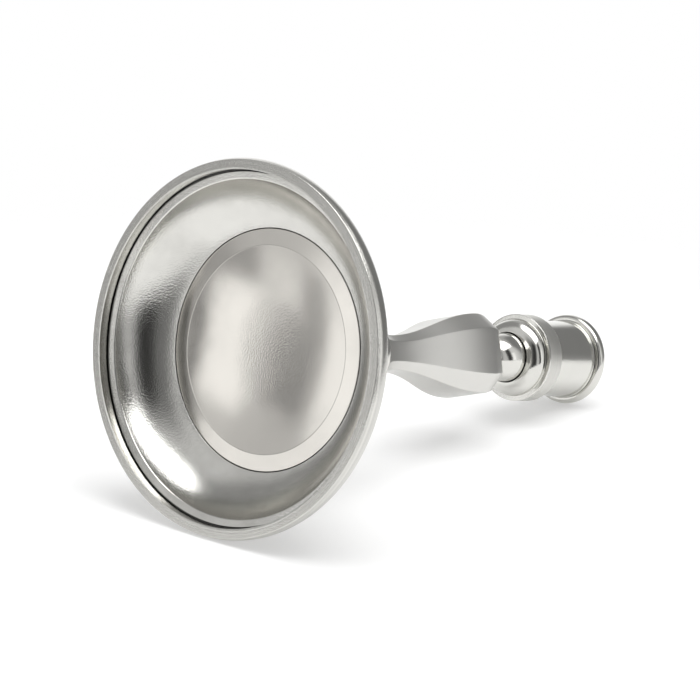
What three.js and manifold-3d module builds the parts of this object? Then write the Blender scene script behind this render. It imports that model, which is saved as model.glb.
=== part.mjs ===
// Baluster candlestick in cast and turned pewter, drawn together by a steel rod.
// Millimetres, +Z up the stem, origin at the centre of the foot ring on the table.

import * as THREE from 'three';
import { mergeVertices } from 'three/addons/utils/BufferGeometryUtils.js';
import Module from 'manifold-3d';

const wasm = await Module();
wasm.setup();

// Driving dimensions: base
const FOOT_RADIUS = 58.0;          // outer edge of the flat foot ring
const FOOT_WIDTH = 2.75;           // width of the foot ring
const FOOT_DRAFT = 0.35;           // how far the inner wall of the foot leans in as it rises
const RIM_HEIGHT = 5.5;            // height of the rounded outer rim
const RIM_DRAFT = 0.4;             // how far the top of the rim stands inside the foot
const RIM_BULGE = 0.8;             // swelling of the rim between foot and top
const LEDGE_DEPTH = 3.5;           // height of the ledge inside the foot ring, at its outer edge
const LEDGE_WIDTH = 2.7;           // width of that ledge
const LEDGE_RISE = 0.6;            // by how much the ledge rises to its inner edge
const QUIRK_WIDTH = 0.5;           // fine groove between the ledge and the wall of the foot
const QUIRK_DEPTH = 0.5;
const SEAM_RADIUS = 37.9;          // inner edge of the underside, where the closing disc sits
const SEAM_HEIGHT = 16.9;          // height of that edge above the table
const DISH_BULGE = 2.2;            // hollowing of the underside between ledge and seam
const DOME_WALL = 3.0;             // thickness of the cast wall over the underside
const DOME_END = THREE.MathUtils.degToRad(80);   // direction from the dish's centre in which the dome ends

// Driving dimensions: flared neck
const NECK_SETBACK = 0.5;          // its foot inside the edge of the dome
const NECK_PLINTH = 0.8;           // straight edge of its foot
const NECK_SLOPE = THREE.MathUtils.degToRad(10);   // rise of its line where it leaves the foot
const NECK_FOOT_REACH = 14.0;      // pull of its curve at the foot
const NECK_TOP_REACH = 26.0;       // pull of its curve at the top
const NECK_WALL = 1.9;
const NECK_RADIUS = 11.4;          // at the top, under the foot knop
const NECK_HEIGHT = 57.5;          // of its top above the table
const NECK_FLOOR = 5.0;            // thickness of its top, where the rod passes

// Driving dimensions: closing disc
const DISC_EDGE = 1.4;             // thickness of the disc
const DISC_FLAT = 5.2;             // width of the plain ring round its dished middle
const DISC_RIDGE = 0.5;            // how far that ring comes down to a ridge round the middle
const DISC_DISHING = 3.2;          // depth of the dished middle inside the ridge

// Driving dimensions: foot knop
const FOOT_KNOP_HEIGHT = 6.0;
const FOOT_KNOP_MARGIN = 0.1;      // its top round the corners of the stem's foot
const FOOT_KNOP_BEAD = 0.4;        // how far its edge swells out beyond its top
const FOOT_KNOP_UNDERCUT = 2.0;    // how far its lower edge stands inside the widest radius

// Driving dimensions: stem, all radii measured to its corners
const STEM_FOOT_RADIUS = 12.3;
const STEM_NECK_RADIUS = 6.55;
const STEM_NECK_RISE = 12.5;       // height of the neck above the stem's foot
const STEM_BELLY_RADIUS = 15.45;
const STEM_BELLY_DROP = 14.0;      // of the widest part below the stem's top
const STEM_EDGE_RADIUS = 14.5;     // crisp edge of the shoulder
const STEM_EDGE_DROP = 9.0;        // of that edge below the stem's top
const STEM_EDGE_SLOPE = 0.3;       // narrowing for each millimetre of rise, just below that edge
const STEM_TOP_RADIUS = 6.4;
const STEM_LENGTH = 68.0;
const STEM_SIDES = 8;
const STEM_FACE_SPAN = THREE.MathUtils.degToRad(60);   // angle that one wide face spans
const FLARE_FOOT_EASE = 0.25;      // shares of a stretch's height that its curve is drawn out by at each end
const FLARE_NECK_EASE = 0.4;
const SWELL_NECK_EASE = 0.39;
const SWELL_BELLY_EASE = 0.42;
const SHOULDER_EASE = 0.36;

// Driving dimensions: ball knop
const BALL_HEIGHT = 10.7;
const BALL_RADIUS = 8.35;          // widest at its top, where it meets the cup
const BALL_NECK_RADIUS = 4.8;      // short neck on which the ball stands
const BALL_NECK_HEIGHT = 1.4;

// Driving dimensions: cup knop
const CUP_HEIGHT = 5.8;
const CUP_STEP = 1.7;              // how far its rounded side stands inside the lip
const CUP_NECK = 0.8;              // straight side between the round and the lip
const CUP_LIP = 0.8;               // height of the straight lip
const CUP_FOOT_PULL = 1.4;         // pull of the round's curve at the groove
const CUP_SIDE_PULL = 2.7;         // pull of that curve at its widest
const CUP_SIDE_LEAN = 0.5;         // how far the round leans in below its widest, over that pull
const CREASE_WIDTH = 0.4;          // fine groove in the cup round the top of the ball
const CREASE_DEPTH = 0.6;

// Driving dimensions: candle socket
const CANDLE_RADIUS = 11.0;        // a common 22 mm taper
const SOCKET_HEIGHT = 32.0;        // collar, tube and rim together
const SOCKET_WALL = 1.3;           // wall of the tube round the candle bore
const SOCKET_FLOOR = 1.9;          // metal between the candle bore and the hole for the rod
const COLLAR_STEP = 2.4;           // how far the collar band stands out from the tube
const COLLAR_QUIRK = 0.2;          // small chamfer that marks the joint with the cup
const COLLAR_HEIGHT = 6.5;
const TUBE_FILLET = 1.2;           // round between collar and tube
const RING_STEP = 0.85;            // how far the half-round ring under the rim stands out from the tube
const RING_HEIGHT = 1.0;
const RING_GAP = 0.35;             // between that ring and the bead at the mouth
const BEAD_STEP = 3.1;             // how far the bead stands out from the tube
const BEAD_SHELF = 1.5;            // width of its flat underside
const BEAD_HEIGHT = 3.3;
const BORE_CHAMFER = 0.8;

// Driving dimensions: rod, washer and nut
const ROD_RADIUS = 3.0;
const ROD_TIP_CHAMFER = 0.6;
const ROD_TAIL = 1.8;              // rod left showing below the nut
const ROD_GRIP = 5.2;              // length of rod inside the socket
const WASHER_RADIUS = 7.4;
const WASHER_THICKNESS = 1.2;
const NUT_ACROSS_FLATS = 10.0;
const NUT_HEIGHT = 5.0;
const NUT_SIDES = 6;

// Fits
const CANDLE_CLEARANCE = 0.2;      // round the candle in its bore
const ROD_CLEARANCE = 0.3;         // round the rod in every bore
const SEAM_GAP = 0.25;             // round the closing disc
const SEAT_CLEARANCE = 0.9;        // between the dished middle of the disc and the seat over its edge
const BORE_END_GAP = 0.4;          // above the tip of the rod
const DRILL_OVERRUN = 1.0;         // by which a drill passes both ends of what it bores

// Fineness of the turned surfaces
const BASE_SEGMENTS = 60;
const TURNED_SEGMENTS = 40;
const ROD_SEGMENTS = 20;
const RIM_STEPS = 4;
const DOME_STEPS = 6;
const NECK_STEPS = 9;
const BEAD_STEPS = 3;              // half the steps on each arc of a bead or cup
const STEM_STEPS = 14;             // for each stretch of the stem's outline
const MERGE_TOLERANCE = 1e-4;

// Heights of the stack, from the table up
const stemFoot = NECK_HEIGHT + FOOT_KNOP_HEIGHT;
const stemTop = stemFoot + STEM_LENGTH;
const ballTop = stemTop + BALL_HEIGHT;
const cupTop = ballTop + CUP_HEIGHT;
const socketTop = cupTop + SOCKET_HEIGHT;
const neckCeiling = NECK_HEIGHT - NECK_FLOOR;
const washerFoot = neckCeiling - WASHER_THICKNESS;
const nutFoot = washerFoot - NUT_HEIGHT;
const rodFoot = nutFoot - ROD_TAIL;
const rodTop = cupTop + ROD_GRIP;
const rodHoleEnd = rodTop + BORE_END_GAP;

// Radii that several pieces share
const boreRadius = ROD_RADIUS + ROD_CLEARANCE;
const candleBoreRadius = CANDLE_RADIUS + CANDLE_CLEARANCE;
const tubeRadius = candleBoreRadius + SOCKET_WALL;
const collarRadius = tubeRadius + COLLAR_STEP;
const discEdge = SEAM_RADIUS - SEAM_GAP;
const discDishEdge = discEdge - DISC_FLAT;

// The dish of the underside and the dome over it are arcs about one centre
const footInside = FOOT_RADIUS - FOOT_WIDTH;
const wallTop = footInside - FOOT_DRAFT;
const dish = swellingArc(
  new THREE.Vector2(wallTop - LEDGE_WIDTH, LEDGE_DEPTH + LEDGE_RISE),
  new THREE.Vector2(SEAM_RADIUS, SEAM_HEIGHT),
  DISH_BULGE,
);
const domeRadius = dish.radius + DOME_WALL;
const domeTop = new THREE.Vector2(Math.cos(DOME_END), Math.sin(DOME_END))
  .multiplyScalar(domeRadius)
  .add(dish.centre);

// Finishes
const polished = new THREE.MeshStandardMaterial({ color: 0xbdbbb6, roughness: 0.18, metalness: 1.0 });
const satin = new THREE.MeshStandardMaterial({ color: 0xb0aeaa, roughness: 0.42, metalness: 1.0 });
const frosted = new THREE.MeshStandardMaterial({ color: 0xb6b3ae, roughness: 0.5, metalness: 1.0 });
const steel = new THREE.MeshStandardMaterial({ color: 0x8e9092, roughness: 0.4, metalness: 1.0 });

// A circular arc from one point to another that swells by a given rise, to the right of the way it runs.
function swellingArc(from, to, rise) {
  const chord = to.clone().sub(from);
  const half = chord.length() / 2;
  const radius = (half * half + rise * rise) / (2 * rise);
  const outward = new THREE.Vector2(chord.y, -chord.x).normalize();
  const centre = from.clone().add(to).multiplyScalar(0.5).addScaledVector(outward, rise - radius);
  const start = Math.atan2(from.y - centre.y, from.x - centre.x);
  const end = Math.atan2(to.y - centre.y, to.x - centre.x);
  return { centre, radius, start, end };
}

function arcPoints(centre, radius, start, end, steps) {
  const clockwise = end < start;
  const arc = new THREE.EllipseCurve(centre.x, centre.y, radius, radius, start, end, clockwise);
  return arc.getPoints(steps);
}

// Points along a curve, moved sideways by a distance to the left of the way it runs.
function offsetPoints(curve, distance, steps) {
  return Array.from({ length: steps + 1 }, (_, step) => {
    const tangent = curve.getTangent(step / steps);
    const sideways = new THREE.Vector2(-tangent.y, tangent.x);
    return curve.getPoint(step / steps).addScaledVector(sideways, distance);
  });
}

// A body turned about Z from an outline of radius and height that runs up its outer side.
function turned(outline, segments, phiStart = 0) {
  const points = outline.filter((point, i) => (
    i === 0 || point.distanceTo(outline[i - 1]) > MERGE_TOLERANCE
  ));
  return new THREE.LatheGeometry(points, segments, phiStart).rotateX(Math.PI / 2);
}

function turnedPath(path, segments) {
  path.autoClose = true;
  return turned(path.getPoints(BEAD_STEPS), segments);
}

// A solid for cutting, made from a closed geometry whose shared corners are merged.
function solidOf(geometry) {
  const bare = geometry.clone();
  bare.deleteAttribute('normal');
  bare.deleteAttribute('uv');
  const merged = mergeVertices(bare, MERGE_TOLERANCE);
  const vertProperties = new Float32Array(merged.getAttribute('position').array);
  const corners = Array.from(merged.getIndex().array);
  const whole = corners.filter((_, i) => {
    const [a, b, c] = corners.slice(i - (i % 3), i - (i % 3) + 3);
    return a !== b && b !== c && c !== a;
  });
  return new wasm.Manifold(new wasm.Mesh({ numProp: 3, vertProperties, triVerts: new Uint32Array(whole) }));
}

function geometryOf(solid) {
  const { vertProperties, triVerts } = solid.getMesh();
  const geometry = new THREE.BufferGeometry();
  geometry.setAttribute('position', new THREE.BufferAttribute(vertProperties, 3));
  geometry.setIndex(new THREE.BufferAttribute(triVerts, 1));
  geometry.computeVertexNormals();
  return geometry;
}

// The cast base: rounded rim and dome outside, dished underside, and a flat seat for the neck on top.
function baseShell() {
  const rimTop = new THREE.Vector2(FOOT_RADIUS - RIM_DRAFT, RIM_HEIGHT);
  const rim = swellingArc(new THREE.Vector2(FOOT_RADIUS, 0), rimTop, RIM_BULGE);
  const domeFoot = Math.asin((RIM_HEIGHT - dish.centre.y) / domeRadius);
  const seatInside = discDishEdge + SEAT_CLEARANCE;
  const rebate = SEAM_HEIGHT + DISC_EDGE;
  const quirkInside = wallTop - QUIRK_WIDTH;
  const quirkFloor = LEDGE_DEPTH + QUIRK_DEPTH;
  return turned([
    ...arcPoints(rim.centre, rim.radius, rim.start, rim.end, RIM_STEPS),
    ...arcPoints(dish.centre, domeRadius, domeFoot, DOME_END, DOME_STEPS),
    new THREE.Vector2(seatInside, domeTop.y),
    new THREE.Vector2(seatInside, rebate),
    new THREE.Vector2(SEAM_RADIUS, rebate),
    ...arcPoints(dish.centre, dish.radius, dish.end, dish.start, DOME_STEPS),
    new THREE.Vector2(quirkInside, LEDGE_DEPTH),
    new THREE.Vector2(quirkInside, quirkFloor),
    new THREE.Vector2(wallTop, quirkFloor),
    new THREE.Vector2(footInside, 0),
    new THREE.Vector2(FOOT_RADIUS, 0),
  ], BASE_SEGMENTS);
}

// The flared neck on the dome, hollow below and bored for the rod at its top.
function flaredNeck() {
  const foot = new THREE.Vector2(domeTop.x - NECK_SETBACK, domeTop.y);
  const plinthTop = new THREE.Vector2(foot.x, foot.y + NECK_PLINTH);
  const leaving = new THREE.Vector2(-Math.cos(NECK_SLOPE), Math.sin(NECK_SLOPE));
  const top = new THREE.Vector2(NECK_RADIUS, NECK_HEIGHT);
  const flare = new THREE.CubicBezierCurve(
    plinthTop,
    plinthTop.clone().addScaledVector(leaving, NECK_FOOT_REACH),
    new THREE.Vector2(NECK_RADIUS, NECK_HEIGHT - NECK_TOP_REACH),
    top,
  );
  const hollow = offsetPoints(flare, NECK_WALL, NECK_STEPS)
    .filter((point) => point.y > foot.y && point.y < neckCeiling)
    .reverse();
  return turned([
    foot,
    ...flare.getPoints(NECK_STEPS),
    new THREE.Vector2(boreRadius, NECK_HEIGHT),
    new THREE.Vector2(boreRadius, neckCeiling),
    new THREE.Vector2(hollow[0].x, neckCeiling),
    ...hollow,
    new THREE.Vector2(hollow[hollow.length - 1].x, foot.y),
    foot,
  ], BASE_SEGMENTS);
}

// The disc that closes the base: a plain ring and a ridge round a shallow dished middle, of even thickness.
function closingDisc() {
  const radius = (discDishEdge * discDishEdge + DISC_DISHING * DISC_DISHING) / (2 * DISC_DISHING);
  const ridge = SEAM_HEIGHT - DISC_RIDGE;
  const centre = ridge + DISC_DISHING - radius;
  const dishAngle = Math.acos(discDishEdge / radius);
  const top = SEAM_HEIGHT + DISC_EDGE;
  const path = new THREE.Path();
  path.moveTo(0, centre + radius);
  path.absarc(0, centre, radius, Math.PI / 2, dishAngle, true);
  path.lineTo(discEdge, SEAM_HEIGHT);
  path.lineTo(discEdge, top);
  path.lineTo(discDishEdge, ridge + DISC_EDGE);
  path.absarc(0, centre + DISC_EDGE, radius, dishAngle, Math.PI / 2, false);
  return turned(path.getPoints(BEAD_STEPS), BASE_SEGMENTS);
}

// The turned ring between base and stem, with a rounded edge.
function footKnop() {
  const halfHeight = FOOT_KNOP_HEIGHT / 2;
  const middle = NECK_HEIGHT + halfHeight;
  const topRadius = STEM_FOOT_RADIUS + FOOT_KNOP_MARGIN;
  const lowRadius = topRadius + FOOT_KNOP_BEAD - FOOT_KNOP_UNDERCUT;
  const path = new THREE.Path();
  path.moveTo(boreRadius, NECK_HEIGHT);
  path.lineTo(lowRadius, NECK_HEIGHT);
  path.absellipse(lowRadius, middle, FOOT_KNOP_UNDERCUT, halfHeight, -Math.PI / 2, 0, false);
  path.absellipse(topRadius, middle, FOOT_KNOP_BEAD, halfHeight, 0, Math.PI / 2, false);
  path.lineTo(boreRadius, stemFoot);
  return turnedPath(path, TURNED_SEGMENTS);
}

// The outline of the stem's corners: flared foot, neck, belly, crisp shoulder and sloping top.
function stemOutline() {
  const neck = stemFoot + STEM_NECK_RISE;
  const belly = stemTop - STEM_BELLY_DROP;
  const edge = stemTop - STEM_EDGE_DROP;
  const swell = belly - neck;
  const pull = (edge - belly) * SHOULDER_EASE;
  const path = new THREE.Path();
  path.moveTo(0, stemFoot);
  path.lineTo(STEM_FOOT_RADIUS, stemFoot);
  path.bezierCurveTo(
    (STEM_FOOT_RADIUS + STEM_NECK_RADIUS) / 2, stemFoot + STEM_NECK_RISE * FLARE_FOOT_EASE,
    STEM_NECK_RADIUS, neck - STEM_NECK_RISE * FLARE_NECK_EASE,
    STEM_NECK_RADIUS, neck,
  );
  path.bezierCurveTo(
    STEM_NECK_RADIUS, neck + swell * SWELL_NECK_EASE,
    STEM_BELLY_RADIUS, belly - swell * SWELL_BELLY_EASE,
    STEM_BELLY_RADIUS, belly,
  );
  path.bezierCurveTo(
    STEM_BELLY_RADIUS, belly + pull,
    STEM_EDGE_RADIUS + STEM_EDGE_SLOPE * pull, edge - pull,
    STEM_EDGE_RADIUS, edge,
  );
  path.lineTo(STEM_TOP_RADIUS, stemTop);
  path.lineTo(0, stemTop);
  return path.getPoints(STEM_STEPS);
}

// Turns the corners of an eight-sided body: wide faces look along X and Y, and narrow cants lie between.
function cantCorners(geometry) {
  const position = geometry.getAttribute('position');
  const quarter = Math.PI / 2;
  for (let i = 0; i < position.count; i++) {
    const radius = Math.hypot(position.getX(i), position.getY(i));
    const angle = Math.atan2(position.getY(i), position.getX(i));
    const face = Math.round(angle / quarter) * quarter;
    const corner = face + Math.sign(angle - face) * STEM_FACE_SPAN / 2;
    position.setXY(i, radius * Math.cos(corner), radius * Math.sin(corner));
  }
  return geometry;
}

// The stem: a square baluster with canted corners, bored for the rod.
function balusterStem() {
  const body = cantCorners(turned(stemOutline(), STEM_SIDES, Math.PI / STEM_SIDES));
  const drillLength = STEM_LENGTH + 2 * DRILL_OVERRUN;
  const drill = new THREE.CylinderGeometry(boreRadius, boreRadius, drillLength, ROD_SEGMENTS)
    .rotateX(Math.PI / 2)
    .translate(0, 0, (stemFoot + stemTop) / 2);
  return geometryOf(solidOf(body).subtract(solidOf(drill)));
}

// The ball above the shoulder: a short neck, then a plump side, widest at the crease with the cup.
function ballKnop() {
  const neckTop = stemTop + BALL_NECK_HEIGHT;
  const neckAngle = Math.acos(BALL_NECK_RADIUS / BALL_RADIUS);
  const depth = (ballTop - neckTop) / Math.sin(neckAngle);
  const path = new THREE.Path();
  path.moveTo(boreRadius, stemTop);
  path.lineTo(BALL_NECK_RADIUS, stemTop);
  path.absellipse(0, ballTop, BALL_RADIUS, depth, -neckAngle, 0, false);
  path.lineTo(boreRadius, ballTop);
  return turnedPath(path, TURNED_SEGMENTS);
}

// The cup under the socket: a fine groove round the ball, a full round, and a lip that steps out to the collar.
function cupKnop() {
  const lipFoot = cupTop - CUP_LIP;
  const roundTop = lipFoot - CUP_NECK;
  const roundRadius = collarRadius - CUP_STEP;
  const creaseFloor = ballTop + CREASE_DEPTH;
  const creaseOutside = BALL_RADIUS + CREASE_WIDTH;
  const path = new THREE.Path();
  path.moveTo(boreRadius, ballTop);
  path.lineTo(BALL_RADIUS, ballTop);
  path.lineTo(BALL_RADIUS, creaseFloor);
  path.lineTo(creaseOutside, creaseFloor);
  path.lineTo(creaseOutside, ballTop);
  path.bezierCurveTo(
    creaseOutside + CUP_FOOT_PULL, ballTop,
    roundRadius - CUP_SIDE_LEAN, roundTop - CUP_SIDE_PULL,
    roundRadius, roundTop,
  );
  path.lineTo(roundRadius, lipFoot);
  path.lineTo(collarRadius, lipFoot);
  path.lineTo(collarRadius, cupTop);
  path.lineTo(boreRadius, cupTop);
  return turnedPath(path, TURNED_SEGMENTS);
}

// The socket: collar band, straight tube, thin ring and bead, candle bore above and blind rod hole below.
function candleSocket() {
  const collarTop = cupTop + COLLAR_HEIGHT;
  const beadFoot = socketTop - BEAD_HEIGHT;
  const beadMiddle = socketTop - BEAD_HEIGHT / 2;
  const beadShelf = tubeRadius + BEAD_SHELF;
  const beadWidth = BEAD_STEP - BEAD_SHELF;
  const halfRing = RING_HEIGHT / 2;
  const ring = beadFoot - RING_GAP - halfRing;
  const filletRadius = tubeRadius + TUBE_FILLET;
  const candleSeat = rodHoleEnd + SOCKET_FLOOR;
  const path = new THREE.Path();
  path.moveTo(0, rodHoleEnd);
  path.lineTo(boreRadius, rodHoleEnd);
  path.lineTo(boreRadius, cupTop);
  path.lineTo(collarRadius - COLLAR_QUIRK, cupTop);
  path.lineTo(collarRadius, cupTop + COLLAR_QUIRK);
  path.lineTo(collarRadius, collarTop);
  path.lineTo(filletRadius, collarTop);
  path.absarc(filletRadius, collarTop + TUBE_FILLET, TUBE_FILLET, -Math.PI / 2, Math.PI, true);
  path.lineTo(tubeRadius, ring - halfRing);
  path.absellipse(tubeRadius, ring, RING_STEP, halfRing, -Math.PI / 2, Math.PI / 2, false);
  path.lineTo(tubeRadius, beadFoot);
  path.lineTo(beadShelf, beadFoot);
  path.absellipse(beadShelf, beadMiddle, beadWidth, BEAD_HEIGHT / 2, -Math.PI / 2, Math.PI / 2, false);
  path.lineTo(candleBoreRadius + BORE_CHAMFER, socketTop);
  path.lineTo(candleBoreRadius, socketTop - BORE_CHAMFER);
  path.lineTo(candleBoreRadius, candleSeat);
  path.lineTo(0, candleSeat);
  return turned(path.getPoints(BEAD_STEPS), TURNED_SEGMENTS);
}

// The rod that draws the pieces together, with chamfered ends.
function tieRod() {
  const tip = ROD_RADIUS - ROD_TIP_CHAMFER;
  const path = new THREE.Path();
  path.moveTo(0, rodFoot);
  path.lineTo(tip, rodFoot);
  path.lineTo(ROD_RADIUS, rodFoot + ROD_TIP_CHAMFER);
  path.lineTo(ROD_RADIUS, rodTop - ROD_TIP_CHAMFER);
  path.lineTo(tip, rodTop);
  path.lineTo(0, rodTop);
  return turned(path.getPoints(), ROD_SEGMENTS);
}

function rodWasher() {
  const path = new THREE.Path();
  path.moveTo(boreRadius, washerFoot);
  path.lineTo(WASHER_RADIUS, washerFoot);
  path.lineTo(WASHER_RADIUS, neckCeiling);
  path.lineTo(boreRadius, neckCeiling);
  return turnedPath(path, TURNED_SEGMENTS);
}

function rodNut() {
  const corner = NUT_ACROSS_FLATS / Math.sqrt(3);
  const turn = 2 * Math.PI / NUT_SIDES;
  const corners = Array.from({ length: NUT_SIDES }, (_, side) => (
    new THREE.Vector2(corner * Math.cos(side * turn), corner * Math.sin(side * turn))
  ));
  const hexagon = new THREE.Shape(corners);
  hexagon.holes.push(new THREE.Path().absarc(0, 0, boreRadius, 0, 2 * Math.PI, true));
  const settings = { depth: NUT_HEIGHT, bevelEnabled: false, curveSegments: ROD_SEGMENTS };
  return new THREE.ExtrudeGeometry(hexagon, settings).translate(0, 0, nutFoot);
}

const pieces = [
  ['base_shell', baseShell(), polished],
  ['flared_neck', flaredNeck(), polished],
  ['closing_disc', closingDisc(), frosted],
  ['foot_knop', footKnop(), polished],
  ['baluster_stem', balusterStem(), satin],
  ['ball_knop', ballKnop(), polished],
  ['cup_knop', cupKnop(), polished],
  ['candle_socket', candleSocket(), polished],
  ['tie_rod', tieRod(), steel],
  ['rod_washer', rodWasher(), steel],
  ['rod_nut', rodNut(), steel],
];

const candlestick = new THREE.Group();
for (const [name, geometry, material] of pieces) {
  const mesh = new THREE.Mesh(geometry, material);
  mesh.name = name;
  candlestick.add(mesh);
}

export default candlestick;
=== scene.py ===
"""Looks of a baluster candlestick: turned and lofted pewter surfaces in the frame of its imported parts.

Sizes are in millimetres and angles in degrees; meshes are made in metres.
"""

import logging
import math
from dataclasses import dataclass
from enum import Enum
from functools import cached_property
from typing import Any, Callable, Optional, Sequence, Union

import bmesh
import bpy
import numpy as np
from bpy.types import Material, Mesh, Node, NodeSocket, Object
from mathutils import Matrix, Vector


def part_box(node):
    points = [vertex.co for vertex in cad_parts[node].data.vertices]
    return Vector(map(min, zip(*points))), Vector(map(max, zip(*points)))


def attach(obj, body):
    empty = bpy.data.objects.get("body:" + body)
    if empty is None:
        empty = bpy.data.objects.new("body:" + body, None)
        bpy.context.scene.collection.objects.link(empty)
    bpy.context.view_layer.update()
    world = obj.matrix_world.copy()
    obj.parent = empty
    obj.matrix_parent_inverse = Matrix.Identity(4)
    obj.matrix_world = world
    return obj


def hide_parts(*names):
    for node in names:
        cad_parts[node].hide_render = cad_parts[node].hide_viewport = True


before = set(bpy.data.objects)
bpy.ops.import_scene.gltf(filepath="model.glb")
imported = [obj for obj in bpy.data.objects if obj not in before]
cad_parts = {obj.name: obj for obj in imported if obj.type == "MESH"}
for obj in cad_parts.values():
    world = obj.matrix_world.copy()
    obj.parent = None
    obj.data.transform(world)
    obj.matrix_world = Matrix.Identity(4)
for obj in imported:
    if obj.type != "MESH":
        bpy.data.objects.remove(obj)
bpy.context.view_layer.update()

log = logging.getLogger("candlestick")

MM = 0.001
ROD_BORE = 3.3
Point = Sequence[float]
Pair = tuple[float, float]
Triple = tuple[float, float, float]


class Slot(Enum):
    """Material slots of the record that the new pieces take."""

    POLISHED = "polished_pewter"
    SATIN = "satin_pewter"
    FROSTED = "frosted_pewter"


class Matt(float, Enum):
    """How matt the metal is, from polished by way of blasted to a groove painted black as dirt and painted
    shade.
    """

    BUFFED = 0.15
    TURNED = 0.3
    BORED = 0.4
    FACED = 0.5
    SCUFFED = 0.55
    BRUSHED = 0.9
    BLASTED = 1.0
    # Past 1 the metal goes black: dirt and painted shade in grooves and creases
    GROOVE = 2.0


class Ease(float, Enum):
    """Length cut back on both sides of a corner that is rounded."""

    KEEN = 0.05
    FINE = 0.08
    CRISP = 0.1
    CLEAN = 0.15
    SLIGHT = 0.2
    SOFT = 0.25
    FULL = 0.35
    ROUND = 0.4


# Outlines and surfaces


def unit(angle: Union[float, np.ndarray]) -> np.ndarray:
    """Points (cos a, sin a) of the unit circle at angles a in radians."""
    return np.stack([np.cos(angle), np.sin(angle)], axis=-1)


@dataclass(frozen=True)
class Stroke:
    """One stretch of an outline.

    Attributes:
        path: Dense points of radius and height.
        count: Points kept along the stretch.
        easing: Length cut back on both sides of the corner at its end, which is then rounded.
        matt: How matt the metal is here, 0 being polished.
    """

    path: np.ndarray
    count: int
    easing: float
    matt: float


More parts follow.
